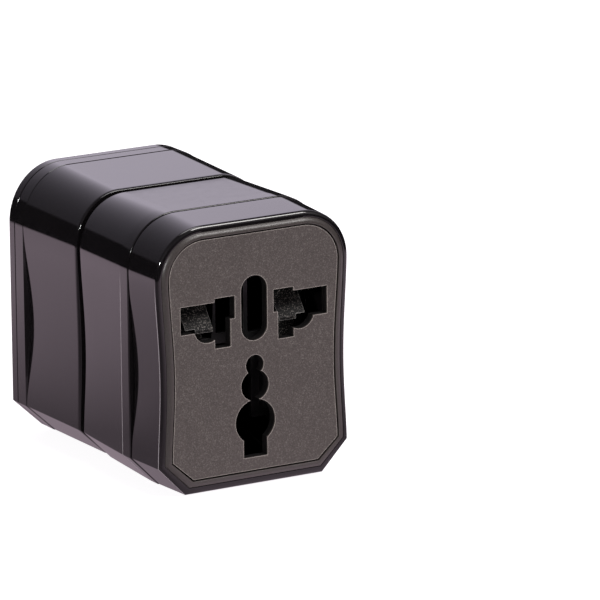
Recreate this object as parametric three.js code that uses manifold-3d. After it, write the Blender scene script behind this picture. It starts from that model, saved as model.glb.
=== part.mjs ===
// Universal travel adapter. A socket module carries the universal socket face and two
// turning US/AU blades. A plug module pulls off its back and slides out EU or UK pins.
// Millimetres. +X is to the right of someone facing the socket, +Y runs from the socket
// face to the wall, +Z is up. The origin is under the middle of the body.
import * as THREE from "three";
import { mergeVertices } from "three/addons/utils/BufferGeometryUtils.js";
import Module from "manifold-3d";

const wasm = await Module();
wasm.setup();

// ---- driving dimensions -------------------------------------------------------------

const BODY_DEPTH = 63.1;
const WALL = 1.9;
const GAP = 0.3;
const SEAM = 0.2;

// Outline shared by every station: round top corners, waisted sides, cut bottom corners.
const CORNER_X = 11.8;
const CORNER_Z = 45.9;
const WAIST_AT = 0.45;
const CORNER_STEPS = 10;
const SIDE_STEPS = 10;
const PLATE_HALF_WIDTH = 19.92;
const PLATE_CHAMFER_X = 14.78;
const PLATE_CHAMFER_HEIGHT = 4.27;
const CHAMFER_X_GROWTH = 0.545;
const CHAMFER_HEIGHT_GROWTH = 0.74;

// Places along the depth.
const PLATE_FRONT = 0.2;
const PLATE_REAR = 2.4;
const BEZEL_REAR = 3.3;
const FRONT_SHELL_REAR = 11.65;
const MID_SHELL_FRONT = FRONT_SHELL_REAR + SEAM;
const MID_CREASE = 15;
const MID_SHELL_REAR = 33.1;
const BACK_PLATE_FRONT = 30.3;
const BACK_PLATE_REAR = 33;
const JOIN_PLATE_FRONT = 33.3;
const JOIN_PLATE_REAR = 36.2;
const REAR_SHELL_FRONT = 34.6;
const REAR_STEP = 56.8;
const REAR_SHELL_REAR = 60.3;
const COVER_FRONT = REAR_SHELL_REAR + SEAM;
const COVER_LIP_FRONT = 58;
const COVER_EDGE = 0.55;

// Socket openings.
const SLOT_INNER = 5.6;
const SLOT_OUTER = 9.35;
const SLOT_BOTTOM = 30.5;
const NOTCH_INNER = 4.55;
const NOTCH_BOTTOM = 36.3;
const NOTCH_TOP = 41.1;
const PIN_WINDOW_OUTER = 17.35;
const PIN_WINDOW_BOTTOM = 34.37;
const PIN_WINDOW_TOP = 40.27;
const ROUND_PIN = { x: 10.9, z: 35.33, radius: 3.36 };
const EARTH_SLOT = { radius: 3.1, low: 34.1, high: 41.7 };
const KEYHOLE = [
  { z: 25.8, radius: 2.15 },
  { z: 21.45, radius: 3.27 },
  { z: 13.8, radius: 4.7 },
];
const KEYWAY = { halfWidth: 2.83, bottom: 6.24, top: 12 };

// Screws and their bosses, mirrored left and right.
const BOSSES = [
  { x: 15.9, z: 50.3, ribX: 17.6, ribZ: 52.1 },
  { x: 15.4, z: 8.6, ribX: 17.6, ribZ: 6 },
];
const BOSS_RADIUS = 2.5;
const RIB_RADIUS = 1.8;
const SCREW = { shank: 1.2, hole: 1.5, head: 2.3, headBore: 2.65, headHeight: 1.5, length: 12.5 };

// Shutters behind the live and neutral openings.
const SHUTTER = { inner: 7.8, outer: 14.2, notchFrom: 11.95, foot: 25, bottom: 33.2, top: 39.8 };
const SPRING = { x: 11, y: 6.9, low: 12.3, high: 24.7, radius: 1.6, wire: 0.3, turns: 5 };

// Turning US/AU blades. The pivot sits above the blade's middle, so that a 30 degree turn
// takes the blades from 12.7 mm apart to 13.7 mm apart.
const BLADE = { x: 6.35, z: 29, thick: 1.5, wide: 6.4, root: 27.7, tip: 49.7 };
const PIVOT_Z = BLADE.z + 1;
const TURRET = { radius: 5.4, flange: 6, front: 28.4 };
const BLADE_TURN = 30;

// Slide-out pins of the plug module.
const CARRIER = { front: 37.4, rear: 41.2 };
const PIN = { root: 37.8, tip: 63 };
const EU = { x: 9.5, z: 46.8, radius: 2.4, travel: 18 };
const UK = { x: 11.1, z: 16.6, wide: 6.35, high: 4, travel: 17.7 };
const UK_EARTH = { z: UK.z + 22.2, wide: 4, high: 8 };
const KNOB = { front: 37.6, rear: 41 };

// ---- solids -------------------------------------------------------------------------

function solid(geometry) {
  const bare = geometry.clone();
  bare.deleteAttribute("normal");
  bare.deleteAttribute("uv");
  const merged = mergeVertices(bare, 1e-4);
  const source = merged.index.array;
  const triangles = [];
  for (let i = 0; i < source.length; i += 3) {
    const [a, b, c] = source.slice(i, i + 3);
    if (a !== b && b !== c && c !== a) triangles.push(a, b, c);
  }
  return new wasm.Manifold(new wasm.Mesh({
    numProp: 3,
    vertProperties: new Float32Array(merged.attributes.position.array),
    triVerts: new Uint32Array(triangles),
  }));
}

function box(x0, x1, y0, y1, z0, z1) {
  const geometry = new THREE.BoxGeometry(Math.abs(x1 - x0), y1 - y0, z1 - z0);
  geometry.translate((x0 + x1) / 2, (y0 + y1) / 2, (z0 + z1) / 2);
  return solid(geometry);
}

function rodY(x, z, radius, y0, y1, segments = 32) {
  const geometry = new THREE.CylinderGeometry(radius, radius, y1 - y0, segments);
  geometry.translate(x, (y0 + y1) / 2, z);
  return solid(geometry);
}

// A (y, z) outline pushed along X.
function extrudeX(points, x0, x1) {
  const shape = new THREE.Shape(points.map(([y, z]) => new THREE.Vector2(y, z)));
  const geometry = new THREE.ExtrudeGeometry(shape, { depth: Math.abs(x1 - x0), bevelEnabled: false });
  const axes = new THREE.Matrix4().makeBasis(
    new THREE.Vector3(0, 1, 0), new THREE.Vector3(0, 0, 1), new THREE.Vector3(1, 0, 0));
  geometry.applyMatrix4(axes);
  geometry.translate(Math.min(x0, x1), 0, 0);
  return solid(geometry);
}

// A (radius, y) profile turned about a line along Y.
function turnedY(profile, x, z, segments = 24) {
  const points = profile.map(([radius, y]) => new THREE.Vector2(radius, y));
  const geometry = new THREE.LatheGeometry(points, segments);
  geometry.translate(x, 0, z);
  return solid(geometry);
}

function join(...parts) {
  return parts.reduce((whole, part) => whole.add(part));
}

function cut(whole, ...cutters) {
  return cutters.reduce((left, cutter) => left.subtract(cutter), whole);
}

// ---- outline and lofts --------------------------------------------------------------

// A station is one outline of the body at depth y. Flat lowers its cut bottom corners.
function station(y, halfWidth, top, bottom, waist, foot = 0.08, flat = 0) {
  return { y, halfWidth, top, bottom, waist, foot, flat };
}

function grown(base, by, y = base.y) {
  const { halfWidth, top, bottom, waist, foot, flat } = base;
  return station(y, halfWidth + by, top + by, bottom - by, waist, foot, flat);
}

// How far the side is drawn in, from t = 0 at the cut corner to t = 1 at the round one.
function sideInset(t, waist, foot) {
  const below = t < WAIST_AT;
  const away = below ? (WAIST_AT - t) / WAIST_AT : (t - WAIST_AT) / (1 - WAIST_AT);
  const dip = Math.max(Math.cos(away * Math.PI / 2), 0) ** 1.5;
  return waist * (below ? foot + (1 - foot) * dip : dip);
}

// The outline as (x, z) points, counter-clockwise for someone facing the socket.
function outlinePoints({ halfWidth, top, bottom, waist, foot, flat }) {
  const extra = halfWidth - PLATE_HALF_WIDTH;
  const chamferX = PLATE_CHAMFER_X + CHAMFER_X_GROWTH * extra;
  const sideFoot = bottom + PLATE_CHAMFER_HEIGHT + CHAMFER_HEIGHT_GROWTH * extra - flat;
  const right = [[chamferX, bottom]];
  for (let i = 0; i < SIDE_STEPS; i += 1) {
    const t = i / SIDE_STEPS;
    right.push([halfWidth - sideInset(t, waist, foot), sideFoot + t * (CORNER_Z - sideFoot)]);
  }
  for (let i = 0; i <= CORNER_STEPS; i += 1) {
    const angle = (i / CORNER_STEPS) * Math.PI / 2;
    const x = CORNER_X + (halfWidth - CORNER_X) * Math.cos(angle);
    right.push([x, CORNER_Z + (top - CORNER_Z) * Math.sin(angle)]);
  }
  const left = right.map(([x, z]) => [-x, z]).reverse();
  return [...right, ...left];
}

function loft(stations, closed) {
  const rings = stations.map((one) => outlinePoints(one).map(([x, z]) => [x, one.y, z]));
  const size = rings[0].length;
  const positions = rings.flat(2);
  const index = [];
  const spans = closed ? rings.length : rings.length - 1;
  for (let i = 0; i < spans; i += 1) {
    const near = i * size;
    const far = ((i + 1) % rings.length) * size;
    for (let j = 0; j < size; j += 1) {
      const next = (j + 1) % size;
      index.push(near + j, far + j, near + next);
      index.push(near + next, far + j, far + next);
    }
  }
  if (!closed) {
    const middle = (CORNER_Z + PLATE_CHAMFER_HEIGHT) / 2;
    const front = positions.length / 3;
    positions.push(0, stations[0].y, middle, 0, stations.at(-1).y, middle);
    const last = (rings.length - 1) * size;
    for (let j = 0; j < size; j += 1) {
      const next = (j + 1) % size;
      index.push(front, j, next);
      index.push(front + 1, last + next, last + j);
    }
  }
  const geometry = new THREE.BufferGeometry();
  geometry.setAttribute("position", new THREE.Float32BufferAttribute(positions, 3));
  geometry.setIndex(index);
  return solid(geometry);
}

// A ring's stations run back along its outside and forward along its inside.
const ring = (...stations) => loft(stations, true);
const slab = (...stations) => loft(stations, false);

// ---- outlines of the mouldings ------------------------------------------------------

const PLATE = station(PLATE_FRONT, PLATE_HALF_WIDTH, 53.76, 3.46, 1.1, 0.3);
const BEZEL = station(0, 21.45, 55.3, 1.85, 0.95, 0.3);
const FRONT_NOSE = station(1.2, 22.65, 56.65, 0.33, 0.95, 0.3);
const FRONT_END = station(FRONT_SHELL_REAR, 23, 57.25, 0.12, 1.1);
const MID_LIP = station(MID_SHELL_FRONT, 23.1, 57.45, 0, 0);
const MID_END = station(MID_SHELL_REAR, 22.55, 57.15, 0.8, 0.9, 0.2);
const REAR_NOSE = station(REAR_SHELL_FRONT, 22.3, 57.1, 1.3, 0.8, 0.2, 0.3);
const REAR_START = station(35.4, 22.6, 57.45, 1.15, 0.4, 0.2, 0.3);
const REAR_SCOOP = station(REAR_STEP - 0.05, 23.1, 58.3, 1.2, 1.05, 0.03, 0.55);
const REAR_FLANGE = station(REAR_STEP + 0.05, 23.2, 58.4, 1.1, 0, 0, 0.55);

// ---- socket module ------------------------------------------------------------------

const mirrored = (make) => join(make(-1), make(1));

function pinOpening(side, y0, y1) {
  const { x, z, radius } = ROUND_PIN;
  return join(
    box(side * NOTCH_INNER, side * SLOT_OUTER, y0, y1, NOTCH_BOTTOM, NOTCH_TOP),
    box(side * SLOT_INNER, side * SLOT_OUTER, y0, y1, SLOT_BOTTOM, NOTCH_TOP),
    box(side * (SLOT_OUTER - 1), side * PIN_WINDOW_OUTER, y0, y1, PIN_WINDOW_BOTTOM, PIN_WINDOW_TOP),
    rodY(side * x, z, radius, y0, y1),
  );
}

function earthOpening(y0, y1) {
  const { radius, low, high } = EARTH_SLOT;
  return join(
    rodY(0, low, radius, y0, y1),
    rodY(0, high, radius, y0, y1),
    box(-radius, radius, y0, y1, low, high),
  );
}

function keyholeOpening(y0, y1) {
  const circles = KEYHOLE.map(({ z, radius }) => rodY(0, z, radius, y0, y1));
  const { halfWidth, bottom, top } = KEYWAY;
  return join(...circles, box(-halfWidth, halfWidth, y0, y1, bottom, top));
}

function faceplate() {
  const y0 = PLATE_FRONT - 1;
  const y1 = PLATE_REAR + 1;
  return cut(
    slab(PLATE, grown(PLATE, 0, PLATE_REAR)),
    pinOpening(-1, y0, y1),
    pinOpening(1, y0, y1),
    earthOpening(y0, y1),
    keyholeOpening(y0, y1),
  );
}

function frontBezel() {
  const ledge = PLATE_REAR + 0.15;
  return ring(
    grown(BEZEL, -0.45, 0),
    grown(BEZEL, -0.13, 0.15),
    grown(BEZEL, 0, 0.5),
    grown(BEZEL, 0, BEZEL_REAR),
    grown(PLATE, -1, BEZEL_REAR),
    grown(PLATE, -1, ledge),
    grown(PLATE, 0.23, ledge),
    grown(PLATE, 0.23, 0),
  );
}

function screwBoss({ x, z, ribX, ribZ }, side) {
  return join(
    rodY(side * x, z, BOSS_RADIUS, 3.9, 30, 20),
    rodY(side * ribX, ribZ, RIB_RADIUS, 3.9, FRONT_SHELL_REAR - 0.2, 12),
  );
}

function frontShell() {
  const pocket = grown(BEZEL, SEAM);
  const behindPocket = BEZEL_REAR + 0.3;
  const shell = ring(
    grown(BEZEL, 0.35, 0.15),
    grown(FRONT_NOSE, -0.45, 0.38),
    grown(FRONT_NOSE, -0.13, 0.75),
    FRONT_NOSE,
    FRONT_END,
    grown(FRONT_END, -WALL),
    station(behindPocket, 20.83, 54.88, 2.18, 1.22, 0.2),
    grown(pocket, 0, behindPocket - 0.1),
    grown(pocket, 0, 0.15),
  );
  const bosses = BOSSES.flatMap((boss) => [screwBoss(boss, -1), screwBoss(boss, 1)]);
  const bores = BOSSES.flatMap(({ x, z }) => (
    [-1, 1].map((side) => rodY(side * x, z, SCREW.hole, 18, 31, 16))));
  return cut(join(shell, ...bosses), ...bores);
}

function midShell() {
  return ring(
    MID_LIP,
    grown(MID_LIP, 0, MID_CREASE),
    MID_END,
    grown(MID_END, -WALL),
    station(MID_CREASE - 0.5, 21.2, 55.5, 1.95, 0.5, 0.2),
    grown(FRONT_END, -WALL, MID_SHELL_FRONT),
  );
}

function socketBackPlate() {
  const outline = station(BACK_PLATE_FRONT, 20.3, 54.95, 3.05, 0.9, 0.2);
  const holes = [-1, 1].map((side) => (
    rodY(side * BLADE.x, PIVOT_Z, TURRET.radius + 0.25, BACK_PLATE_FRONT - 1, BACK_PLATE_REAR + 1, 40)));
  const bores = BOSSES.flatMap(({ x, z }) => [-1, 1].map((side) => join(
    rodY(side * x, z, SCREW.hole, BACK_PLATE_FRONT - 1, BACK_PLATE_REAR + 1, 16),
    rodY(side * x, z, SCREW.headBore, BACK_PLATE_REAR - 1.8, BACK_PLATE_REAR + 1, 20),
  )));
  return cut(slab(outline, grown(outline, 0, BACK_PLATE_REAR)), ...holes, ...bores);
}

function contactCarrier() {
  const frameFront = 10.5;
  const frameRear = 11.7;
  const wallRear = 27.4;
  const reach = 17.2;
  const frame = box(-reach, reach, frameFront, frameRear, 11.5, 46.5);
  const backWall = box(-reach, reach, 25.6, wallRear, 26, 45);
  const partitions = mirrored((side) => box(side * 3.5, side * 4.1, 11.5, 25.7, 28.5, 45));
  const outerWalls = mirrored((side) => box(side * 16.6, side * reach, 11.5, 25.7, 26, 45));
  const shelves = mirrored((side) => box(side * 8.6, side * 13.4, 4.6, 10.6, 10.6, 12));
  const outerRails = mirrored((side) => box(side * 14.5, side * 15.3, 8.6, 10.6, 20, 42));
  const innerRails = mirrored((side) => box(side * 6.8, side * 7.5, 8.6, 10.6, 14, 29));
  const pinWindows = mirrored((side) => box(side * 4.3, side * 16.4, 10, 12.5, 29.9, 41.6));
  const railGaps = mirrored((side) => box(side * 7.6, side * 14.4, 8, 10.45, 12.1, 46));
  const earthWindow = box(-3.3, 3.3, 10, 12.5, 30.6, 45);
  const keyWindow = box(-5, 5, 10, 12.5, 5, 28.4);
  const tailWindows = mirrored((side) => box(side * 5, side * 7.8, 25, 28, 28.6, 31.4));
  return cut(
    join(frame, backWall, partitions, outerWalls, shelves, outerRails, innerRails),
    pinWindows, railGaps, earthWindow, keyWindow, tailWindows,
  );
}

// Brass cradle open to the front: two bowed leaves, a base, and a tail to the blade.
function socketContact(side) {
  const leaf = (z, bow) => extrudeX([
    [13, z + bow * 2.2], [14.5, z + bow * 2.9], [17.5, z + bow * 2.9], [24.9, z],
    [24.9, z - bow * 0.55], [17.3, z + bow * 2.35], [14.8, z + bow * 2.35], [13.4, z + bow * 1.7],
  ], side * 5.2, side * 16.2);
  return join(
    leaf(42.4, -1),
    leaf(29.1, 1),
    box(side * 5.2, side * 16.2, 24.4, 25, 28.7, 42.8),
    box(side * 5.7, side * 7, 24.9, 27.4, 29.2, 30.8),
  );
}

function shutter(side) {
  const { inner, outer, notchFrom, foot, bottom, top } = SHUTTER;
  const body = extrudeX([
    [3.7, bottom], [8.6, bottom], [8.6, foot + 1.4], [4.9, foot + 1.4], [4.9, foot],
    [9.9, foot], [9.9, top], [8.2, top], [3.7, bottom + 0.7],
  ], side * inner, side * outer);
  const notch = box(side * notchFrom, side * (outer + 1), 3, 8.5, bottom - 1, bottom + 0.95);
  return cut(body, notch);
}

function shutterSpring(side) {
  const { x, y, low, high, radius, wire, turns } = SPRING;
  class Coil extends THREE.Curve {
    getPoint(t, target = new THREE.Vector3()) {
      const angle = t * turns * 2 * Math.PI;
      const z = low + wire + t * (high - low - 2 * wire);
      return target.set(side * x + radius * Math.cos(angle), y + radius * Math.sin(angle), z);
    }
  }
  const section = new THREE.Shape();
  section.absarc(0, 0, wire, 0, 2 * Math.PI);
  const options = { steps: turns * 12, curveSegments: 3, extrudePath: new Coil() };
  return solid(new THREE.ExtrudeGeometry(section, options));
}

function bladeTurret(side) {
  const { radius, flange, front } = TURRET;
  const slot = 0.12;
  const halfThick = BLADE.thick / 2 + slot;
  const halfWide = BLADE.wide / 2 + slot;
  const x = side * BLADE.x;
  return cut(
    join(
      rodY(x, PIVOT_Z, flange, front, BACK_PLATE_FRONT - GAP, 40),
      rodY(x, PIVOT_Z, radius, front + 0.5, BACK_PLATE_REAR, 40),
    ),
    box(
      x - halfThick, x + halfThick, front - 1, BACK_PLATE_REAR + 1,
      BLADE.z - halfWide, BLADE.z + halfWide,
    ),
  );
}

function plugBlade(side) {
  const { x, z, thick, wide, root, tip } = BLADE;
  const half = wide / 2;
  const shape = [
    [root, z - half], [tip - 1.6, z - half], [tip, z - half + 1.4],
    [tip, z + half - 1.4], [tip - 1.6, z + half], [root, z + half],
  ];
  const blade = extrudeX(shape, side * x - thick / 2, side * x + thick / 2);
  const hole = new THREE.CylinderGeometry(1.6, 1.6, 6, 20);
  hole.rotateZ(Math.PI / 2);
  hole.translate(side * x, tip - 5.2, z);
  return cut(blade, solid(hole));
}

// A pan-head screw whose head meets its seat at y, with its shank running along -Y or +Y.
function screw(x, z, seat, direction) {
  const { shank, head, headHeight, length } = SCREW;
  const profile = [
    [0, -length], [shank * 0.4, -length], [shank, -length + 1.2], [shank, 0], [head, 0],
    [head, headHeight * 0.6], [head * 0.7, headHeight], [0, headHeight],
  ];
  const placed = profile.map(([radius, y]) => [radius, seat - direction * y]);
  const body = turnedY(direction < 0 ? placed : placed.reverse(), x, z, 16);
  const top = seat - direction * headHeight;
  const [y0, y1] = [top - 0.8, top + 0.8];
  const slots = [
    box(x - 1.4, x + 1.4, y0, y1, z - 0.3, z + 0.3),
    box(x - 0.3, x + 0.3, y0, y1, z - 1.4, z + 1.4),
  ];
  return cut(body, ...slots);
}

// ---- plug module --------------------------------------------------------------------

const EU_SLOT = { low: 43.5, high: 47.7, end: KNOB.rear + EU.travel + 0.4 };
const UK_SLOT = { low: 14.4, high: 18.7, end: KNOB.rear + UK.travel + 0.4 };

function knobSlot({ low, high, end }, fromX) {
  return box(fromX, 25, KNOB.front - 0.3, end, low, high);
}

function rearShell() {
  const shell = ring(
    REAR_NOSE,
    REAR_START,
    REAR_SCOOP,
    REAR_FLANGE,
    grown(REAR_FLANGE, 0, REAR_SHELL_REAR),
    station(REAR_SHELL_REAR, 21.2, 56.5, 3, 1.05, 0.03, 0.55),
    grown(REAR_SCOOP, -WALL),
    grown(REAR_START, -WALL, 36.4),
    grown(REAR_NOSE, -WALL),
  );
  return cut(shell, knobSlot(EU_SLOT, 17), knobSlot(UK_SLOT, 17));
}

// The swept shape of a blade as it turns, cut through the joining plate.
function bladeSweep(side) {
  const steps = [0, 0.25, 0.5, 0.75, 1];
  const room = 0.4;
  return join(...steps.map((part) => {
    const geometry = new THREE.BoxGeometry(BLADE.thick + 2 * room, 8, BLADE.wide + 2 * room);
    geometry.translate(0, 0, BLADE.z - PIVOT_Z);
    geometry.rotateY(THREE.MathUtils.degToRad(-side * BLADE_TURN * part));
    geometry.translate(side * BLADE.x, (JOIN_PLATE_FRONT + JOIN_PLATE_REAR) / 2, PIVOT_Z);
    return solid(geometry);
  }));
}

function joiningPlate() {
  const outline = station(JOIN_PLATE_FRONT, 20.1, 54.85, 3.4, 0.95, 0.2, 0.3);
  const bores = BOSSES.flatMap(({ x, z }) => [-1, 1].map((side) => join(
    rodY(side * x, z, SCREW.hole, JOIN_PLATE_FRONT - 1, JOIN_PLATE_REAR + 1, 16),
    rodY(side * x, z, SCREW.headBore, JOIN_PLATE_FRONT - 1, JOIN_PLATE_FRONT + 1.8, 20),
  )));
  return cut(slab(outline, grown(outline, 0, JOIN_PLATE_REAR)), bladeSweep(-1), bladeSweep(1), ...bores);
}

function rearCover() {
  const rim = grown(REAR_FLANGE, 0, COVER_FRONT);
  const plate = slab(
    rim,
    grown(rim, 0, BODY_DEPTH - COVER_EDGE),
    grown(rim, -0.3 * COVER_EDGE, BODY_DEPTH - 0.3 * COVER_EDGE),
    grown(rim, -COVER_EDGE, BODY_DEPTH),
  );
  const lip = station(COVER_LIP_FRONT, 20.9, 56.1, 3.4, 1.1, 0.03, 0.55);
  const lipEnd = COVER_FRONT + 0.2;
  const lipRing = ring(lip, grown(lip, 0, lipEnd), grown(lip, -1.2, lipEnd), grown(lip, -1.2));
  const posts = BOSSES.flatMap(({ x, z }) => [-1, 1].map((side) => (
    rodY(side * x, z, BOSS_RADIUS, JOIN_PLATE_REAR + 0.4, COVER_FRONT + 0.2, 20))));
  const bores = BOSSES.flatMap(({ x, z }) => [-1, 1].map((side) => (
    rodY(side * x, z, SCREW.hole, JOIN_PLATE_REAR, 49, 16))));
  const room = 0.25;
  const euHoles = mirrored((side) => rodY(side * EU.x, EU.z, EU.radius + room, 57, 64, 28));
  const ukHoles = mirrored((side) => pinBlock(side * UK.x, UK.z, UK.wide, UK.high, 57, 64, room));
  const earthHole = pinBlock(0, UK_EARTH.z, UK_EARTH.wide, UK_EARTH.high, 57, 64, room);
  const armGaps = [EU_SLOT, UK_SLOT].map(({ low, high }) => box(12, 25, 57, COVER_FRONT - 0.05, low, high));
  return cut(
    join(plate, lipRing, ...posts),
    ...bores, euHoles, ukHoles, earthHole, ...armGaps,
  );
}

function pinBlock(x, z, wide, high, y0, y1, room = 0) {
  const halfWide = wide / 2 + room;
  const halfHigh = high / 2 + room;
  return box(x - halfWide, x + halfWide, y0, y1, z - halfHigh, z + halfHigh);
}

// Brass strip from the blade's clip to the EU and UK pins on one side.
function rearBus(side) {
  const strip = (x0, x1, y0, y1, z0, z1) => box(side * x0, side * x1, y0, y1, z0, z1);
  return join(
    strip(16.1, 16.7, 37, 43, 18.6, 42.6),
    strip(16.1, 16.5, 37, 58, 18.6, 21.6),
    strip(12.8, 16.7, 37, 43, 42, 42.6),
    strip(12.8, 13.2, 37, 58, 42, 44.3),
    strip(8, 16.7, 37, 37.6, 28.9, 31.1),
    strip(8, 8.4, 37, 47, 29.4, 30.6),
  );
}

function euPinCarrier() {
  const { front, rear } = CARRIER;
  const bores = mirrored((side) => rodY(side * EU.x, EU.z, EU.radius + 0.12, front - 1, rear + 1, 28));
  return cut(box(-12.5, 12.5, front, rear, EU.z - 2.9, EU.z + 2.9), bores);
}

function euPin(side) {
  const { root, tip } = PIN;
  const { x, z, radius } = EU;
  const profile = [
    [0, root], [radius - 0.3, root], [radius, root + 0.3], [radius, tip - 1.7],
    [radius * 0.9, tip - 0.9], [radius * 0.65, tip - 0.3], [radius * 0.35, tip], [0, tip],
  ];
  return turnedY(profile, side * x, z, 28);
}

function ukPinCarrier() {
  const { front, rear } = CARRIER;
  const room = 0.12;
  const body = join(
    box(-15.6, 15.6, front, rear, UK.z - 3.6, UK.z + 3.6),
    box(-3, 3, front, rear, UK.z + 3.4, UK_EARTH.z - 5),
    box(-3.4, 3.4, front, rear, UK_EARTH.z - 5.2, UK_EARTH.z + 4.7),
  );
  return cut(
    body,
    mirrored((side) => pinBlock(side * UK.x, UK.z, UK.wide, UK.high, front - 1, rear + 1, room)),
    pinBlock(0, UK_EARTH.z, UK_EARTH.wide, UK_EARTH.high, front - 1, rear + 1, room),
  );
}

// A rectangular pin with a tapered end.
function flatPin(x, z, wide, high) {
  const { root, tip } = PIN;
  const half = high / 2;
  const sidesOn = extrudeX([
    [root, z - half], [tip - 2, z - half], [tip, z - half + 1],
    [tip, z + half - 1], [tip - 2, z + half], [root, z + half],
  ], x - wide / 2, x + wide / 2);
  const trim = new THREE.Shape();
  trim.moveTo(-wide / 2 - 1, root - 1);
  trim.lineTo(wide / 2 + 1, root - 1);
  trim.lineTo(wide / 2, tip - 2);
  trim.lineTo(wide / 2 - 0.8, tip);
  trim.lineTo(wide / 2 - 0.8, tip + 1);
  trim.lineTo(-wide / 2 + 0.8, tip + 1);
  trim.lineTo(-wide / 2 + 0.8, tip);
  trim.lineTo(-wide / 2, tip - 2);
  const plan = new THREE.ExtrudeGeometry(trim, { depth: high + 2, bevelEnabled: false });
  plan.translate(x, 0, z - half - 1);
  return sidesOn.intersect(solid(plan));
}

// A thumb pad in the side slot and the arm that ties it to its carrier.
function slideKnob(carrierX, padInner, padOuter, z) {
  const { front, rear } = KNOB;
  const middle = (front + rear) / 2;
  const grooves = [-1, 0, 1].map((i) => (
    box(padOuter - 0.4, padOuter + 1, middle + i - 0.2, middle + i + 0.2, z - 3, z + 3)));
  return cut(
    join(
      box(carrierX, padInner + 0.1, front, rear, z - 1, z + 1),
      box(padInner, padOuter, front, rear, z - 1.9, z + 1.9),
    ),
    ...grooves,
  );
}

// ---- materials and assembly ---------------------------------------------------------

const finish = (color, roughness, metalness = 0) => (
  () => new THREE.MeshStandardMaterial({ color, roughness, metalness }));
const glossBlack = finish(0x17151a, 0.12);
const matteGrey = finish(0x5a524f, 0.75);
const innerBlack = finish(0x1b1b1c, 0.6);
const shutterGrey = finish(0x3c3c3e, 0.65);
const brass = finish(0xb8923f, 0.35, 1);
const nickel = finish(0xb9bbbd, 0.25, 1);
const steel = finish(0x8f9194, 0.35, 1);

const adapter = new THREE.Group();
adapter.position.y = -BODY_DEPTH / 2;

function add(name, manifold, material) {
  const { vertProperties, triVerts, numProp } = manifold.getMesh();
  if (numProp !== 3) throw new Error(`${name} carries more than positions`);
  const geometry = new THREE.BufferGeometry();
  geometry.setAttribute("position", new THREE.BufferAttribute(new Float32Array(vertProperties), 3));
  geometry.setIndex(new THREE.BufferAttribute(new Uint32Array(triVerts), 1));
  geometry.computeVertexNormals();
  const mesh = new THREE.Mesh(geometry, material());
  mesh.name = name;
  adapter.add(mesh);
}

add("faceplate", faceplate(), matteGrey);
add("front_bezel", frontBezel(), matteGrey);
add("front_shell", frontShell(), glossBlack);
add("mid_shell", midShell(), glossBlack);
add("socket_back_plate", socketBackPlate(), innerBlack);
add("contact_carrier", contactCarrier(), innerBlack);
add("rear_shell", rearShell(), glossBlack);
add("joining_plate", joiningPlate(), innerBlack);
add("rear_cover", rearCover(), glossBlack);
add("live_contact", socketContact(-1), brass);
add("neutral_contact", socketContact(1), brass);
add("rear_live_bus", rearBus(-1), brass);
add("rear_neutral_bus", rearBus(1), brass);

for (const [hand, side] of [["left", -1], ["right", 1]]) {
  add(`shutter_${hand}`, shutter(side), shutterGrey);
  add(`shutter_spring_${hand}`, shutterSpring(side), steel);
  add(`blade_turret_${hand}`, bladeTurret(side), innerBlack);
  add(`plug_blade_${hand}`, plugBlade(side), nickel);
  add(`eu_pin_${hand}`, euPin(side), nickel);
  add(`uk_pin_${hand}`, flatPin(side * UK.x, UK.z, UK.wide, UK.high), nickel);
}

add("eu_pin_carrier", euPinCarrier(), innerBlack);
add("eu_slide_knob", slideKnob(12.7, 21, 23, 45.6), innerBlack);
add("uk_pin_carrier", ukPinCarrier(), innerBlack);
add("uk_earth_pin", flatPin(0, UK_EARTH.z, UK_EARTH.wide, UK_EARTH.high), innerBlack);
add("uk_slide_knob", slideKnob(15.8, 20.5, 22.7, 16.6), innerBlack);

let count = 0;
for (const { x, z } of BOSSES) {
  for (const side of [-1, 1]) {
    count += 1;
    add(`socket_screw_${count}`, screw(side * x, z, BACK_PLATE_REAR - 1.7, -1), steel);
    add(`plug_screw_${count}`, screw(side * x, z, JOIN_PLATE_FRONT + 1.7, 1), steel);
  }
}

export default adapter;
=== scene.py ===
import math

import bmesh
import bpy
from mathutils import Matrix, Vector


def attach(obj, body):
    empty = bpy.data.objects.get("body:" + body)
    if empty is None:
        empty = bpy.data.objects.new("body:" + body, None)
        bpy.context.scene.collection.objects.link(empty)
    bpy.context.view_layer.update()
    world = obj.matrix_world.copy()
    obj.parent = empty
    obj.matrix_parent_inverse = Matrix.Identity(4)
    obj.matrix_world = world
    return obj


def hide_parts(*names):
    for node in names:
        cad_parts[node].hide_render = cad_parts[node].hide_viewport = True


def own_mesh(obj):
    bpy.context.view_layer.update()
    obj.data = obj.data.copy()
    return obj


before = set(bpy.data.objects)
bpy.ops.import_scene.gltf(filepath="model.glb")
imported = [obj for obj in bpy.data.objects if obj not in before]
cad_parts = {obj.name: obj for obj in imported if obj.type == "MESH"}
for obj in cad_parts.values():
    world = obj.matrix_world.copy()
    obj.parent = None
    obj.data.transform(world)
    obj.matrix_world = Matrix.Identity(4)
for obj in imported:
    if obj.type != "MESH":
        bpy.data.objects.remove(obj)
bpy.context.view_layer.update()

# Looks for the universal travel adapter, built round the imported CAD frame. Lengths in the
# tables are millimetres with y measured from the front of the bezel, as in the CAD source.
# Meshes are in metres, in the frame: +X right, +Y from the socket face to the wall, +Z up.

MM = 0.001
BODY_DEPTH = 63.1
WALL = 1.9
SEAM = 0.1

# ---- camera -------------------------------------------------------------------------

CAMERA_AZIMUTH = math.radians(-30.445)
CAMERA_ELEVATION = math.radians(14.501)
CAMERA_ROLL = math.radians(0.528)
CAMERA_LENS = 385.2
CAMERA_BASE = Vector((0, 0.192 - BODY_DEPTH / 2, 0.384))
CAMERA_OFFSET = Vector((9.015, 37.91, 1322.2))


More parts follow.
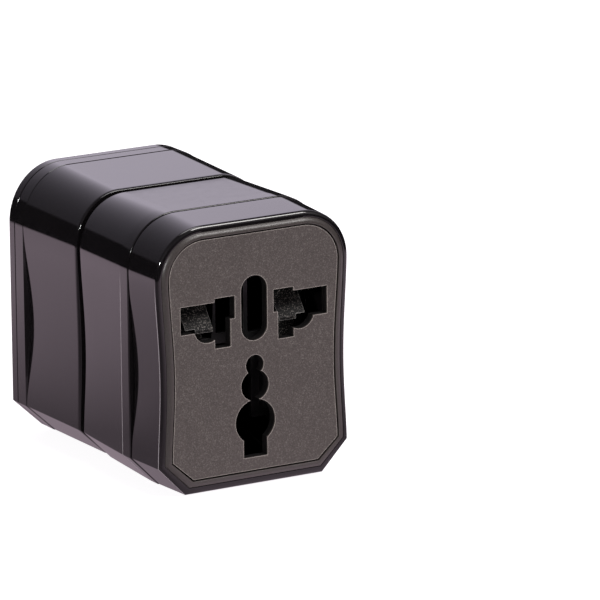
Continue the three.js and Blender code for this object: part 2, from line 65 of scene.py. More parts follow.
def add_camera():
    azimuth, elevation = CAMERA_AZIMUTH, CAMERA_ELEVATION
    across = Vector((math.cos(azimuth), math.sin(azimuth), 0))
    back = Vector((
        math.sin(azimuth) * math.cos(elevation),
        -math.cos(azimuth) * math.cos(elevation),
        math.sin(elevation),
    ))
    up = back.cross(across)
    c, s = math.cos(CAMERA_ROLL), math.sin(CAMERA_ROLL)
    axes = [c * across - s * up, s * across + c * up, back]
    place = CAMERA_BASE + sum((axes[i] * CAMERA_OFFSET[i] for i in range(3)), Vector())
    data = bpy.data.cameras.new("camera")
    data.sensor_width = 36
    data.lens = CAMERA_LENS
    data.clip_start = 0.05
    data.clip_end = 50
    camera = bpy.data.objects.new("camera", data)
    rows = Matrix(axes).transposed().to_4x4()
    camera.matrix_world = Matrix.Translation(place * MM) @ rows
    bpy.context.scene.collection.objects.link(camera)
    bpy.context.scene.camera = camera


add_camera()

# ---- node materials -----------------------------------------------------------------

# How far from a sharp edge its wear and its painted edge highlight reach, in metres.
EDGE_REACH = 0.25 * MM

# Highlight lines painted round the gloss sides, with no ridge under them: the depth of each in
# millimetres and its strength. They are full below LINE_FULL, gone above LINE_GONE, and at most
# twice LINE_HALF wide.
LIGHT_LINES = ((1.35, 0.8), (15.0, 0.65), (33.0, 0.35))
HIGHLIGHT_LINE_COLOR = (0.42, 0.38, 0.40)
LINE_HALF = 0.14
LINE_FULL = 40 * MM
LINE_GONE = 46 * MM

# Light specks painted into the grain as glints, and the shade painted dark on opening walls, which fades in
# over a depth.
GLINT_SPECK_COLOR = (0.30, 0.27, 0.25)
WALL_SHADE_COLOR = (0.004, 0.0035, 0.0035)
WALL_FADE = 0.3 * MM


class Nodes:
    """Short calls for building one material."""

    def __init__(self, name):
        self.material = bpy.data.materials.new(name)
        self.material.use_nodes = True
        self.tree = self.material.node_tree
        self.shader = self.tree.nodes["Principled BSDF"]
        self.coords = self.tree.nodes.new("ShaderNodeTexCoord").outputs["Object"]

    def node(self, kind, inputs=(), **settings):
        made = self.tree.nodes.new(kind)
        for key, value in settings.items():
            setattr(made, key, value)
        for key, value in dict(inputs).items():
            if isinstance(value, bpy.types.NodeSocket):
                self.tree.links.new(value, made.inputs[key])
            else:
                made.inputs[key].default_value = value
        return made

    def stretched(self, scale):
        return self.node("ShaderNodeMapping", {"Vector": self.coords, "Scale": scale}).outputs[0]

    def noise(self, scale, detail=3, roughness=0.5, vector=None):
        inputs = {"Vector": vector or self.coords, "Scale": scale, "Detail": detail, "Roughness": roughness}
        return self.node("ShaderNodeTexNoise", inputs).outputs["Fac"]

    def spread(self, value, low, high, out_low=0.0, out_high=1.0):
        inputs = {"Value": value, "From Min": low, "From Max": high, "To Min": out_low, "To Max": out_high}
        return self.node("ShaderNodeMapRange", inputs).outputs[0]

    def math(self, operation, a, b=0.0):
        return self.node("ShaderNodeMath", {0: a, 1: b}, operation=operation).outputs[0]

    def blend(self, amount, a, b):
        made = self.node("ShaderNodeMix", {"Factor": amount}, data_type="RGBA")
        for index, value in ((6, a), (7, b)):
            if isinstance(value, bpy.types.NodeSocket):
                self.tree.links.new(value, made.inputs[index])
            else:
                made.inputs[index].default_value = (*value, 1)
        return made.outputs[2]

    def edges(self):
        """Near 1 along the sharp edges, 0 away from them."""
        rounded_normal = self.node("ShaderNodeBevel", {"Radius": EDGE_REACH}, samples=4).outputs[0]
        true_normal = self.node("ShaderNodeNewGeometry").outputs["Normal"]
        inputs = {0: rounded_normal, 1: true_normal}
        agree = self.node("ShaderNodeVectorMath", inputs, operation="DOT_PRODUCT").outputs["Value"]
        return self.spread(agree, 0.99, 0.85)

    def band(self, line_y):
        """1 on a thin line round the body's sides at depth line_y, 0 elsewhere."""
        split = self.node("ShaderNodeSeparateXYZ", {0: self.coords}).outputs
        away = self.math("ABSOLUTE", self.math("SUBTRACT", split["Y"], (line_y - BODY_DEPTH / 2) * MM))
        near = self.spread(away, LINE_HALF * MM, LINE_HALF * MM / 3)
        return self.math("MULTIPLY", near, self.spread(split["Z"], LINE_GONE, LINE_FULL))

    def bump(self, height, strength, distance, under=None):
        inputs = {"Height": height, "Strength": strength, "Distance": distance}
        if under is not None:
            inputs["Normal"] = under
        return self.node("ShaderNodeBump", inputs).outputs[0]

    def finish(self, color, roughness, normal, **constants):
        for socket, value in (("Base Color", color), ("Roughness", roughness), ("Normal", normal)):
            self.tree.links.new(value, self.shader.inputs[socket])
        for socket, value in constants.items():
            self.shader.inputs[socket.replace("_", " ")].default_value = value
        return self.material


def gloss_plastic():
    n = Nodes("gloss_black")
    cloud = n.noise(90, 2)
    haze = n.noise(420, 4, 0.6)
    streaks = n.noise(260, 2, 0.6, n.stretched((1, 14, 3)))
    scratches = n.spread(streaks, 0.66, 0.74)
    rough = n.spread(haze, 0.35, 0.75, 0.045, 0.085)
    rough = n.math("ADD", rough, n.math("MULTIPLY", scratches, 0.05))
    worn = n.edges()
    rough = n.math("ADD", rough, n.math("MULTIPLY", worn, 0.06))
    color = n.blend(cloud, (0.0034, 0.0028, 0.0032), (0.0052, 0.0044, 0.0050))
    color = n.blend(n.math("MULTIPLY", worn, 0.4), color, (0.012, 0.011, 0.012))
    # Painted highlight lines across the sides, with the gloss a little rougher under them.
    for line_y, strength in LIGHT_LINES:
        line = n.math("MULTIPLY", n.band(line_y), strength)
        color = n.blend(line, color, HIGHLIGHT_LINE_COLOR)
        rough = n.math("ADD", rough, n.math("MULTIPLY", line, 0.4))
    ripple = n.bump(n.noise(55, 1), 0.08, 0.0004)
    return n.finish(color, rough, n.bump(haze, 0.015, 0.0001, ripple), IOR=1.5)


def grained_plastic(
        name, dark, light, scale, depth, rough, edge_highlight_color, glint_amount, specular=0.5, wall_from=None):
    """Fine grain with painted glint specks and light edges painted as highlights. Deeper than wall_from, in
    millimetres, the surface is painted dark as shade.
    """
    n = Nodes(name)
    grain = n.noise(scale, 2, 0.6)
    glint_specks = n.spread(n.noise(scale * 0.8, 1, 0.5), 0.54, 0.72)
    cloud = n.noise(160, 4, 0.6)
    color = n.blend(n.spread(grain, 0.32, 0.68), dark, light)
    # Light specks painted into the grain's colour as glints.
    color = n.blend(n.math("MULTIPLY", glint_specks, glint_amount), color, GLINT_SPECK_COLOR)
    color = n.blend(n.spread(cloud, 0.3, 0.7, 0, 0.22), color, dark)
    # A light colour painted along the sharp edges as a painted edge highlight.
    color = n.blend(n.math("MULTIPLY", n.edges(), 0.8), color, edge_highlight_color)
    # Deeper in the openings the colour is painted dark, as painted shade.
    if wall_from is not None:
        height = n.node("ShaderNodeSeparateXYZ", {0: n.coords}).outputs["Y"]
        front = (wall_from - BODY_DEPTH / 2) * MM
        color = n.blend(n.spread(height, front, front + WALL_FADE), color, WALL_SHADE_COLOR)
    roughness = n.spread(grain, 0.3, 0.7, rough - 0.06, rough + 0.08)
    return n.finish(color, roughness, n.bump(grain, 0.6, depth), Specular_IOR_Level=specular)


def inner_plastic():
    n = Nodes("inner_black")
    grain = n.noise(2600, 3, 0.6)
    flow = n.noise(120, 3, 0.55, n.stretched((1, 3, 1)))
    color = n.blend(n.spread(flow, 0.3, 0.7), (0.005, 0.005, 0.0052), (0.010, 0.0098, 0.010))
    color = n.blend(n.math("MULTIPLY", n.edges(), 0.5), color, (0.04, 0.04, 0.04))
    roughness = n.spread(grain, 0.3, 0.7, 0.38, 0.56)
    return n.finish(color, roughness, n.bump(grain, 0.25, 0.00004), IOR=1.5)


def metal(name, dark, light, rough, brush, tarnish):
    n = Nodes(name)
    lines = n.noise(900, 3, 0.6, n.stretched(brush))
    stain = n.noise(210, 5, 0.65)
    color = n.blend(n.spread(stain, 0.35, 0.7), light, dark)
    color = n.blend(n.spread(n.noise(700, 4, 0.7), 0.62, 0.75, 0, 0.5), color, tarnish)
    roughness = n.spread(lines, 0.3, 0.7, rough - 0.07, rough + 0.1)
    return n.finish(color, roughness, n.bump(lines, 0.12, 0.00003), Metallic=1.0)


GLOSS = gloss_plastic()
FACE = grained_plastic(
    "face_grain", (0.031, 0.025, 0.022), (0.068, 0.055, 0.050), 5600, 0.00010, 0.48,
    (0.46, 0.41, 0.38), 0.26, wall_from=0.45)
BEZEL_FINISH = grained_plastic(
    "bezel_grain", (0.028, 0.023, 0.021), (0.040, 0.033, 0.031), 5600, 0.00002, 0.33,
    (0.09, 0.078, 0.072), 0.04)
# The shutters' grain is painted darker than their grey plastic, as painted shade from the faceplate over
# them.
SHUTTER_SHADED_GRAIN = grained_plastic(
    "shutter_grain", (0.003, 0.003, 0.003), (0.012, 0.012, 0.012), 4200, 0.00014, 0.42,
    (0.34, 0.33, 0.32), 0.55, specular=0.14)
INNER = inner_plastic()
BRASS = metal("brass_sheet", (0.48, 0.33, 0.11), (0.72, 0.53, 0.22), 0.28, (1, 1, 9), (0.22, 0.13, 0.05))
NICKEL = metal("plated_metal", (0.55, 0.54, 0.52), (0.70, 0.69, 0.67), 0.2, (9, 1, 9), (0.36, 0.34, 0.30))
STEEL = metal("zinc_steel", (0.42, 0.43, 0.44), (0.60, 0.61, 0.62), 0.3, (1, 8, 1), (0.25, 0.24, 0.22))

# ---- outline and lofts --------------------------------------------------------------

CORNER_X = 11.8
CORNER_Z = 45.9
WAIST_AT = 0.45
PLATE_HALF_WIDTH = 19.92
PLATE_CHAMFER_X = 14.78
PLATE_CHAMFER_HEIGHT = 4.27
CHAMFER_X_GROWTH = 0.545
CHAMFER_HEIGHT_GROWTH = 0.74
CORNER_STEPS = 36
SIDE_STEPS = 36


class Station:
    """One outline of the body at depth y."""

    def __init__(self, y, half_width, top, bottom, waist, foot=0.08, flat=0.0):
        self.values = (y, half_width, top, bottom, waist, foot, flat)
        self.y = y

    def grown(self, by, y=None):
        old_y, half_width, top, bottom, waist, foot, flat = self.values
        new_y = old_y if y is None else y
        return Station(new_y, half_width + by, top + by, bottom - by, waist, foot, flat)

    def toward(self, other, share, y):
        mixed = [a + (b - a) * share for a, b in zip(self.values, other.values)]
        return Station(y, *mixed[1:])

    def inset(self, t):
        waist, foot = self.values[4], self.values[5]
        below = t < WAIST_AT
        away = (WAIST_AT - t) / WAIST_AT if below else (t - WAIST_AT) / (1 - WAIST_AT)
        dip = max(math.cos(away * math.pi / 2), 0) ** 1.5
        return waist * (foot + (1 - foot) * dip if below else dip)

    def points(self):
        _, half_width, top, bottom, _, _, flat = self.values
        extra = half_width - PLATE_HALF_WIDTH
        chamfer_x = PLATE_CHAMFER_X + CHAMFER_X_GROWTH * extra
        side_foot = bottom + PLATE_CHAMFER_HEIGHT + CHAMFER_HEIGHT_GROWTH * extra - flat
        right = [(chamfer_x, bottom)]
        for i in range(SIDE_STEPS):
            t = i / SIDE_STEPS
            right.append((half_width - self.inset(t), side_foot + t * (CORNER_Z - side_foot)))
        for i in range(CORNER_STEPS + 1):
            angle = i / CORNER_STEPS * math.pi / 2
            x = CORNER_X + (half_width - CORNER_X) * math.cos(angle)
            right.append((x, CORNER_Z + (top - CORNER_Z) * math.sin(angle)))
        return right + [(-x, z) for x, z in reversed(right)]


def rounded(a, b, steps=6):
    """Stations from a's face round to b's side, as a quarter turn."""
    made = []
    for i in range(steps + 1):
        angle = i / steps * math.pi / 2
        made.append(a.toward(b, math.sin(angle), a.y + (b.y - a.y) * (1 - math.cos(angle))))
    return made


def rounded_off(a, b, steps=6):
    """Stations from a's side round to b's face, as a quarter turn."""
    return list(reversed(rounded(b, a, steps)))


def shoulder(a, b, steps=8):
    """Stations from a's face bending gently back to b, as a parabola."""
    made = []
    for i in range(steps + 1):
        share = i / steps
        made.append(a.toward(b, share, a.y + (b.y - a.y) * share ** 2))
    return made


def straight(a, b, steps):
    """Stations strictly between a and b."""
    return [a.toward(b, i / steps, a.y + (b.y - a.y) * i / steps) for i in range(1, steps)]


def new_object(name, bm):
    bmesh.ops.recalc_face_normals(bm, faces=bm.faces)
    mesh = bpy.data.meshes.new(name)
    bm.to_mesh(mesh)
    bm.free()
    made = bpy.data.objects.new(name, mesh)
    bpy.context.scene.collection.objects.link(made)
    return made


def loft(name, stations, closed):
    bm = bmesh.new()
    rings = []
    for station in stations:
        y = (station.y - BODY_DEPTH / 2) * MM
        rings.append([bm.verts.new((x * MM, y, z * MM)) for x, z in station.points()])
    count = len(rings[0])
    spans = len(rings) if closed else len(rings) - 1
    for i in range(spans):
        near, far = rings[i], rings[(i + 1) % len(rings)]
        for j in range(count):
            k = (j + 1) % count
            bm.faces.new((near[j], far[j], far[k], near[k]))
    if not closed:
        bm.faces.new(rings[0])
        bm.faces.new(list(reversed(rings[-1])))
    return new_object(name, bm)


def block(x0, x1, y0, y1, z0, z1):
    bm = bmesh.new()
    bmesh.ops.create_cube(bm, size=1)
    size = Vector((abs(x1 - x0), y1 - y0, z1 - z0)) * MM
    middle = Vector(((x0 + x1) / 2, (y0 + y1 - BODY_DEPTH) / 2, (z0 + z1) / 2)) * MM
    for v in bm.verts:
        v.co = Vector([v.co[i] * size[i] + middle[i] for i in range(3)])
    return new_object("tool", bm)


def rod(x, z, radius, y0, y1, segments=64):
    bm = bmesh.new()
    turn = Matrix.Rotation(math.pi / 2, 4, "X")
    place = Matrix.Translation(Vector((x, (y0 + y1 - BODY_DEPTH) / 2, z)) * MM)
    bmesh.ops.create_cone(
        bm, cap_ends=True, segments=segments, radius1=radius * MM, radius2=radius * MM,
        depth=(y1 - y0) * MM, matrix=place @ turn)
    return new_object("tool", bm)


def settle(piece):
    """Turns the piece's modifiers into its own mesh."""
    depsgraph = bpy.context.evaluated_depsgraph_get()
    mesh = bpy.data.meshes.new_from_object(piece.evaluated_get(depsgraph))
    piece.modifiers.clear()
    old = piece.data
    piece.data = mesh
    bpy.data.meshes.remove(old)
    mesh.name = piece.name


def combine(piece, tools, operation):
    for tool in tools:
        modifier = piece.modifiers.new("combine", "BOOLEAN")
        modifier.operation = operation
        modifier.solver = "EXACT"
        modifier.object = tool
    settle(piece)
    for tool in tools:
        bpy.data.objects.remove(tool)
    return piece


# A face whose normal lies this close to an axis is part of a flat area and is shaded flat.
FLAT_FACE = 0.999999


def soften(piece, width, segments=3, angle=28, merge_flats=False):
    """Rounds the sharp edges and shades the rest smooth."""
    bm = bmesh.new()
    bm.from_mesh(piece.data)
    bmesh.ops.remove_doubles(bm, verts=bm.verts, dist=1e-7)
    if merge_flats:
        bmesh.ops.dissolve_limit(bm, angle_limit=math.radians(0.3), verts=bm.verts, edges=bm.edges)
    bm.to_mesh(piece.data)
    bm.free()
    if width:
        modifier = piece.modifiers.new("round", "BEVEL")
        modifier.width = width * MM
        modifier.segments = segments
        modifier.limit_method = "ANGLE"
        modifier.angle_limit = math.radians(angle)
        modifier.use_clamp_overlap = True
        modifier.miter_outer = "MITER_ARC"
        settle(piece)
    mesh = piece.data
    mesh.polygons.foreach_set("use_smooth", [True] * len(mesh.polygons))
    mesh.set_sharp_from_angle(angle=math.radians(40))
    modifier = piece.modifiers.new("normals", "WEIGHTED_NORMAL")
    modifier.keep_sharp = True
    modifier.weight = 80
    settle(piece)
    mesh = piece.data
    normals = [corner.vector.copy() for corner in mesh.corner_normals]
    for polygon in mesh.polygons:
        if max(abs(part) for part in polygon.normal) > FLAT_FACE:
            for loop in polygon.loop_indices:
                normals[loop] = polygon.normal.copy()
    mesh.normals_split_custom_set(normals)
    return piece


def place(piece, body, material, slot, *nodes):
    piece.data.materials.clear()
    piece.data.materials.append(material)
    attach(piece, body)
    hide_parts(*nodes)
    return piece


# ---- outer mouldings ----------------------------------------------------------------

PLATE = Station(0.2, PLATE_HALF_WIDTH, 53.76, 3.46, 1.1, 0.3)
BEZEL = Station(0, 21.45, 55.3, 1.85, 0.95, 0.3)
FRONT_NOSE = Station(1.2, 22.65, 56.65, 0.33, 0.95, 0.3)
FRONT_END = Station(11.65, 23, 57.25, 0.12, 1.1)
MID_LIP = Station(11.85, 23.1, 57.45, 0, 0)
MID_CREASE = 15
MID_END = Station(33.1, 22.55, 57.15, 0.8, 0.9, 0.2)
REAR_NOSE = Station(34.6, 22.3, 57.1, 1.3, 0.8, 0.2, 0.3)
REAR_START = Station(35.4, 22.6, 57.45, 1.15, 0.4, 0.2, 0.3)
REAR_SCOOP = Station(56.75, 23.1, 58.3, 1.2, 1.05, 0.03, 0.55)
REAR_FLANGE = Station(56.85, 23.2, 58.4, 1.1, 0, 0, 0.55)
REAR_SHELL_REAR = 60.3
COVER_FRONT = 60.5
COVER_EDGE = 0.55
BOSSES = ((15.9, 50.3, 17.6, 52.1), (15.4, 8.6, 17.6, 6.0))
BOSS_RADIUS = 2.5
RIB_RADIUS = 1.8
SCREW_HOLE = 1.5


def each_boss():
    return [(side * x, z, side * rib_x, rib_z) for x, z, rib_x, rib_z in BOSSES for side in (-1, 1)]


def pin_opening(side, y0, y1):
    return [
        block(side * 4.55, side * 9.35, y0, y1, 36.3, 41.1),
        block(side * 5.6, side * 9.35, y0, y1, 30.5, 41.1),
        block(side * 8.35, side * 17.35, y0, y1, 34.37, 40.27),
        rod(side * 10.9, 35.33, 3.36, y0, y1),
    ]


def socket_openings(y0, y1):
    keyhole = [rod(0, z, radius, y0, y1, 72) for z, radius in ((25.8, 2.15), (21.45, 3.27), (13.8, 4.7))]
    earth = [rod(0, z, 3.1, y0, y1, 72) for z in (34.1, 41.7)]
    boxes = [block(-3.1, 3.1, y0, y1, 34.1, 41.7), block(-2.83, 2.83, y0, y1, 6.24, 12)]
    return pin_opening(-1, y0, y1) + pin_opening(1, y0, y1) + keyhole + earth + boxes


PLATE_SETBACK = 0.06
PLATE_REAR = 2.4
PLATE_LEDGE = 2.55
BEZEL_GAP = 0.3
BEZEL_REAR = 3.3


def build_faceplate():
    edge = PLATE.grown(-PLATE_SETBACK)
    piece = loft("face_plate", [edge, edge.grown(0, PLATE_REAR)], False)
    combine(piece, socket_openings(-0.8, 3.4), "DIFFERENCE")
    soften(piece, 0.1)
    place(piece, "socket_module", FACE, "bezel_plastic", "faceplate")


def build_bezel():
    piece = loft("face_bezel", [
        *shoulder(BEZEL.grown(-1.1, 0), BEZEL.grown(0, 0.55)),
        BEZEL.grown(0, BEZEL_REAR), PLATE.grown(-1, BEZEL_REAR), PLATE.grown(-1, PLATE_LEDGE),
        PLATE.grown(BEZEL_GAP, PLATE_LEDGE), PLATE.grown(BEZEL_GAP, 0),
    ], True)
    soften(piece, 0.06)
    place(piece, "socket_module", BEZEL_FINISH, "bezel_plastic", "front_bezel")


def build_front_shell():
    pocket = BEZEL.grown(SEAM)
    inner = Station(3.6, 20.83, 54.88, 2.18, 1.22, 0.2)
    piece = loft("front_section", [
        *rounded(BEZEL.grown(SEAM, 0.5), FRONT_NOSE, 8),
        *straight(FRONT_NOSE, FRONT_END, 4),
        *rounded_off(FRONT_END.toward(FRONT_NOSE, 0.03, 11.45), FRONT_END.grown(-0.2), 4),
        FRONT_END.grown(-WALL), inner, pocket.grown(0, 3.5), pocket.grown(0, 0.7),
    ], True)
    posts = []
    for x, z, rib_x, rib_z in each_boss():
        posts.append(rod(x, z, BOSS_RADIUS, 3.9, 30, 32))
        posts.append(rod(rib_x, rib_z, RIB_RADIUS, 3.9, 11.45, 24))
    combine(piece, posts, "UNION")
    combine(piece, [rod(x, z, SCREW_HOLE, 18, 31, 24) for x, z, _, _ in each_boss()], "DIFFERENCE")
    soften(piece, 0.12, 2)
    place(piece, "socket_module", GLOSS, "gloss_shell", "front_shell")


def build_mid_shell():
    crease = MID_LIP.grown(0, MID_CREASE)
    piece = loft("middle_section", [
        *rounded(MID_LIP.grown(-0.25), MID_LIP.grown(0, 12.1), 4),
        crease.grown(0, MID_CREASE - 0.5), crease.toward(MID_END, 0.03, MID_CREASE + 0.55),
        *straight(crease, MID_END, 6)[1:],
        *rounded_off(MID_END.grown(0, 32.75), MID_END.grown(-0.35), 5),
        MID_END.grown(-WALL), Station(14.5, 21.2, 55.5, 1.95, 0.5, 0.2), FRONT_END.grown(-WALL, 11.85),
    ], True)
    soften(piece, 0.1, 2)
    place(piece, "socket_module", GLOSS, "gloss_shell", "mid_shell")


EU_SLOT = (43.5, 47.7, 59.4)
UK_SLOT = (14.4, 18.7, 59.1)


def build_rear_shell():
    piece = loft("rear_section", [
        *rounded(REAR_NOSE, REAR_START, 7),
        *straight(REAR_START, REAR_SCOOP, 8),
        REAR_SCOOP, REAR_FLANGE,
        *rounded_off(REAR_FLANGE.grown(0, 60.15), REAR_FLANGE.grown(-0.15, REAR_SHELL_REAR), 3),
        Station(REAR_SHELL_REAR, 21.2, 56.5, 3, 1.05, 0.03, 0.55),
        REAR_SCOOP.grown(-WALL), REAR_START.grown(-WALL, 36.4), REAR_NOSE.grown(-WALL),
    ], True)
    slots = [block(17, 25, 37.3, end, low, high) for low, high, end in (EU_SLOT, UK_SLOT)]
    combine(piece, slots, "DIFFERENCE")
    soften(piece, 0.12, 2)
    place(piece, "plug_module", GLOSS, "gloss_shell", "rear_shell")


EU_PIN = (9.5, 46.8, 2.4)
UK_PIN = (11.1, 16.6, 6.35, 4)
UK_EARTH = (0, 38.8, 4, 8)
PIN_ROOM = 0.25


def pin_block(x, z, wide, high, y0, y1, room=0.0):
    return block(
        x - wide / 2 - room, x + wide / 2 + room, y0, y1, z - high / 2 - room, z + high / 2 + room)


def build_rear_cover():
    rim = REAR_FLANGE.grown(0, COVER_FRONT)
    piece = loft("rear_plate", [
        *rounded(rim.grown(-0.15), rim.grown(0, COVER_FRONT + 0.15), 3),
        *rounded_off(rim.grown(0, BODY_DEPTH - COVER_EDGE), rim.grown(-COVER_EDGE, BODY_DEPTH), 6),
    ], False)
    lip = Station(58, 20.9, 56.1, 3.4, 1.1, 0.03, 0.55)
    lip_end = COVER_FRONT + 0.2
    lip_ring = loft("tool", [lip, lip.grown(0, lip_end), lip.grown(-1.2, lip_end), lip.grown(-1.2)], True)
    posts = [rod(x, z, BOSS_RADIUS, 36.6, lip_end, 32) for x, z, _, _ in each_boss()]
    combine(piece, [lip_ring, *posts], "UNION")
    tools = [rod(x, z, SCREW_HOLE, 36.2, 49, 24) for x, z, _, _ in each_boss()]
    for side in (-1, 1):
        tools.append(rod(side * EU_PIN[0], EU_PIN[1], EU_PIN[2] + PIN_ROOM, 57, 64))
        tools.append(pin_block(side * UK_PIN[0], *UK_PIN[1:], 57, 64, PIN_ROOM))
    tools.append(pin_block(*UK_EARTH, 57, 64, PIN_ROOM))
    tools += [block(12, 25, 57, COVER_FRONT - 0.05, low, high) for low, high, _ in (EU_SLOT, UK_SLOT)]
    combine(piece, tools, "DIFFERENCE")
    soften(piece, 0.15, 2)
    place(piece, "plug_module", GLOSS, "gloss_shell", "rear_cover")


# ---- pieces refined from their CAD solids -------------------------------------------

CARRIED = (
    (("contact_carrier", "socket_back_plate"), "socket_module", INNER, "inner_plastic", 0.15),
    (("joining_plate",), "plug_module", INNER, "inner_plastic", 0.15),
    (("live_contact", "neutral_contact"), "socket_module", BRASS, "contact_brass", 0.06),
    (("rear_live_bus", "rear_neutral_bus"), "plug_module", BRASS, "contact_brass", 0.05),
    (("shutter_left",), "shutter_left_body", SHUTTER_SHADED_GRAIN, "shutter_plastic", 0.14),
    (("shutter_right",), "shutter_right_body", SHUTTER_SHADED_GRAIN, "shutter_plastic", 0.14),
    (("blade_turret_left",), "blade_left", INNER, "inner_plastic", 0.15),
    (("blade_turret_right",), "blade_right", INNER, "inner_plastic", 0.15),
    (("plug_blade_left",), "blade_left", NICKEL, "plated_pin", 0.12),
    (("plug_blade_right",), "blade_right", NICKEL, "plated_pin", 0.12),
    (("eu_pin_carrier", "eu_slide_knob"), "eu_pins", INNER, "inner_plastic", 0.15),
    (("eu_pin_left", "eu_pin_right"), "eu_pins", NICKEL, "plated_pin", 0.0),
    (("uk_pin_carrier", "uk_slide_knob", "uk_earth_pin"), "uk_pins", INNER, "inner_plastic", 0.15),
    (("uk_pin_left", "uk_pin_right"), "uk_pins", NICKEL, "plated_pin", 0.15),
    (tuple(f"socket_screw_{i}" for i in range(1, 5)), "socket_module", STEEL, "steel", 0.05),
    (tuple(f"plug_screw_{i}" for i in range(1, 5)), "plug_module", STEEL, "steel", 0.05),
    (("shutter_spring_left", "shutter_spring_right"), "socket_module", STEEL, "steel", 0.0),
)


# The joining plate's front face is drawn this much nearer, so no light shows through the joint.
JOINT_FACE = 1.8
JOINT_CLOSED = 0.27


def build_carried():
    for nodes, body, material, slot, width in CARRIED:
        for node in nodes:
            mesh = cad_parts[node].data.copy()
            mesh.name = f"{node}_look"
            if node == "joining_plate":
                for vertex in mesh.vertices:
                    if vertex.co.y < JOINT_FACE * MM:
                        vertex.co.y -= JOINT_CLOSED * MM
            piece = bpy.data.objects.new(f"{node}_look", mesh)
            bpy.context.scene.collection.objects.link(piece)
            soften(piece, width, 2, 30, merge_flats=True)
            place(piece, body, material, slot, node)
            if node.startswith("shutter_spring"):
                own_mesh(piece)


build_faceplate()
build_bezel()
build_front_shell()
build_mid_shell()
build_rear_shell()
build_rear_cover()
build_carried()

# ---- studio -------------------------------------------------------------------------

FLOOR_RADIUS = 6
BACKDROP_HEIGHT = 4


def show_only_to(thing, *kinds):
    for kind in ("camera", "diffuse", "glossy", "transmission", "volume_scatter", "shadow"):
        setattr(thing, f"visible_{kind}", kind in kinds)


def glowing(name, tint, strength):
    """The nodes of a material that only shines."""
    n = Nodes(name)
    n.shader.inputs["Base Color"].default_value = (0, 0, 0, 1)
    n.shader.inputs["Specular IOR Level"].default_value = 0
    n.shader.inputs["Emission Color"].default_value = (*tint, 1)
    n.shader.inputs["Emission Strength"].default_value = strength
    return n


def disc(name, radius, z):
    bm = bmesh.new()
    bmesh.ops.create_circle(bm, cap_ends=True, segments=96, radius=radius)
    made = new_object(name, bm)
    made.location.z = z
    return made


def build_floor():
    floor = disc("floor", FLOOR_RADIUS, -0.00005)
    n = Nodes("floor_white")
    tone = n.blend(n.noise(3, 2), (0.44, 0.435, 0.44), (0.47, 0.465, 0.47))
    n.tree.links.new(tone, n.shader.inputs["Base Color"])
    n.shader.inputs["Roughness"].default_value = 0.9
    n.shader.inputs["Emission Color"].default_value = (1.0, 0.99, 1.0, 1)
    n.shader.inputs["Emission Strength"].default_value = 0.90
    floor.data.materials.append(n.material)
    show_only_to(floor, "camera", "diffuse", "transmission", "shadow")


def build_backdrop():
    bm = bmesh.new()
    bmesh.ops.create_cone(
        bm, cap_ends=False, segments=96, radius1=FLOOR_RADIUS, radius2=FLOOR_RADIUS, depth=BACKDROP_HEIGHT)
    backdrop = new_object("backdrop", bm)
    backdrop.location.z = BACKDROP_HEIGHT / 2 - 0.01
    backdrop.data.materials.append(glowing("backdrop_white", (1, 1, 1), 1.05).material)
    show_only_to(backdrop, "camera")


# The lit table that the gloss sides mirror. It is dim close to the object, brighter farther off,
# in part shade to the front left, lit a little just in front, and dark where it ends.
TABLE_TINT = (1.25, 1.0, 1.17)
TABLE_NEAR, TABLE_FAR = 0.045, 0.170
TABLE_DIM, TABLE_BRIGHT = 0.33, 0.92
TABLE_END, TABLE_GONE = 0.235, 0.275
SHADE_DIRECTION = (-0.86, -0.51, 0)
SHADE_NEAR, SHADE_FAR = 0.040, 0.110
SHADE_DEPTH = 0.75
FRONT_DIRECTION = (0.1, -0.995, 0)
FRONT_NEAR, FRONT_FAR = 0.045, 0.075
FRONT_GLOW = 0.4


def build_table_glow():
    table = disc("table_glow", TABLE_GONE + 0.01, -0.0001)
    n = glowing("table_light", TABLE_TINT, 1)
    reach = n.node("ShaderNodeVectorMath", {0: n.coords}, operation="LENGTH").outputs["Value"]
    rise = n.spread(reach, TABLE_NEAR, TABLE_FAR, TABLE_DIM, TABLE_BRIGHT)
    fall = n.spread(reach, TABLE_END, TABLE_GONE, 1, 0)
    along = n.node("ShaderNodeVectorMath", {0: n.coords}, operation="NORMALIZE").outputs[0]

    def toward(direction):
        inputs = {0: along, 1: direction}
        return n.node("ShaderNodeVectorMath", inputs, operation="DOT_PRODUCT").outputs["Value"]

    facing = n.spread(toward(SHADE_DIRECTION), 0.40, 0.95)
    beyond = n.spread(reach, SHADE_NEAR, SHADE_FAR)
    shade = n.math("SUBTRACT", 1.0, n.math("MULTIPLY", n.math("MULTIPLY", facing, beyond), SHADE_DEPTH))
    ahead = n.spread(toward(FRONT_DIRECTION), 0.80, 0.90)
    near_front = n.math("MULTIPLY", ahead, n.spread(reach, FRONT_FAR, FRONT_NEAR))
    glow = n.math("MULTIPLY", n.math("MULTIPLY", rise, fall), shade)
    glow = n.math("ADD", glow, n.math("MULTIPLY", near_front, FRONT_GLOW))
    n.tree.links.new(glow, n.shader.inputs["Emission Strength"])
    table.data.materials.append(n.material)
    show_only_to(table, "glossy")


# Soft lights as lobes of the sky: direction, colour, and the angle in radians over which each
# fades. Below SKY_EDGE the sky is nearly dark.
SKY_BASE = (0.016, 0.015, 0.017)
SKY_LOBES = (
    ((0.389, 0.834, 0.391), (1.75, 1.60, 1.90), 0.384),
    ((0.84, 0.49, 0.27), (1.2, 1.12, 1.15), 0.20),
    ((0.55, -0.70, 0.45), (1.3, 1.22, 1.25), 0.22),
    ((-0.70, 0.05, 0.71), (0.12, 0.11, 0.12), 0.5),
    ((-0.50, -0.80, 0.36), (0.42, 0.39, 0.43), 0.25),
)
SKY_EDGE = (0.165, 0.200)


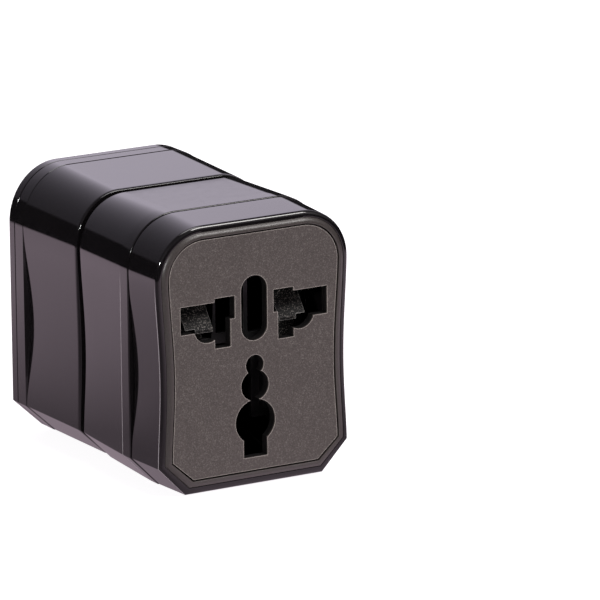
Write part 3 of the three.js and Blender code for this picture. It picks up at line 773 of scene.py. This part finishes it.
def build_sky():
    world = bpy.data.worlds.new("studio")
    world.use_nodes = True
    tree = world.node_tree
    background = tree.nodes["Background"]
    direction = tree.nodes.new("ShaderNodeTexCoord").outputs["Generated"]

    def math_node(operation, value, other=0.0):
        made = tree.nodes.new("ShaderNodeMath")
        made.operation = operation
        tree.links.new(value, made.inputs[0])
        made.inputs[1].default_value = other
        return made.outputs[0]

    def vector_node(operation, *values):
        made = tree.nodes.new("ShaderNodeVectorMath")
        made.operation = operation
        for socket, value in zip(made.inputs, values):
            if isinstance(value, bpy.types.NodeSocket):
                tree.links.new(value, socket)
            else:
                socket.default_value = value
        return made

    total = None
    for axis, color, fade in SKY_LOBES:
        dot = vector_node("DOT_PRODUCT", direction, Vector(axis).normalized()).outputs["Value"]
        angle = math_node("ARCCOSINE", math_node("MINIMUM", dot, 0.999999))
        share = math_node("EXPONENT", math_node("MULTIPLY", angle, -1 / fade))
        total = vector_node("MULTIPLY_ADD", share, color, total or (0, 0, 0)).outputs[0]
    height = tree.nodes.new("ShaderNodeSeparateXYZ")
    tree.links.new(direction, height.inputs[0])
    above = tree.nodes.new("ShaderNodeMapRange")
    tree.links.new(height.outputs["Z"], above.inputs["Value"])
    above.inputs["From Min"].default_value, above.inputs["From Max"].default_value = SKY_EDGE
    lit = vector_node("MULTIPLY_ADD", total, above.outputs[0], SKY_BASE).outputs[0]
    tree.links.new(lit, background.inputs["Color"])
    bpy.context.scene.world = world


def add_light(name, place_at, aim, size, power, color=(1, 1, 1)):
    data = bpy.data.lights.new(name, "AREA")
    data.shape = "RECTANGLE"
    data.size, data.size_y = size
    data.energy = power
    data.color = color
    light = bpy.data.objects.new(name, data)
    light.location = place_at
    light.rotation_euler = (Vector(aim) - Vector(place_at)).to_track_quat("-Z", "Y").to_euler()
    light.visible_camera = False
    bpy.context.scene.collection.objects.link(light)


build_floor()
build_backdrop()
build_table_glow()
build_sky()
add_light("key", (0.9, -1.5, 1.5), (0, 0, 0.03), (0.7, 0.7), 26, (1.0, 0.97, 0.95))
add_light("top", (0.25, -0.35, 1.7), (0, 0, 0.03), (0.9, 0.9), 14, (1.0, 0.98, 0.99))
add_light("spark", (-1.25, -0.88, 0.50), (0, 0, 0.04), (0.12, 0.12), 9)

bpy.context.scene.view_settings.view_transform = "Standard"
bpy.context.scene.view_settings.look = "None"
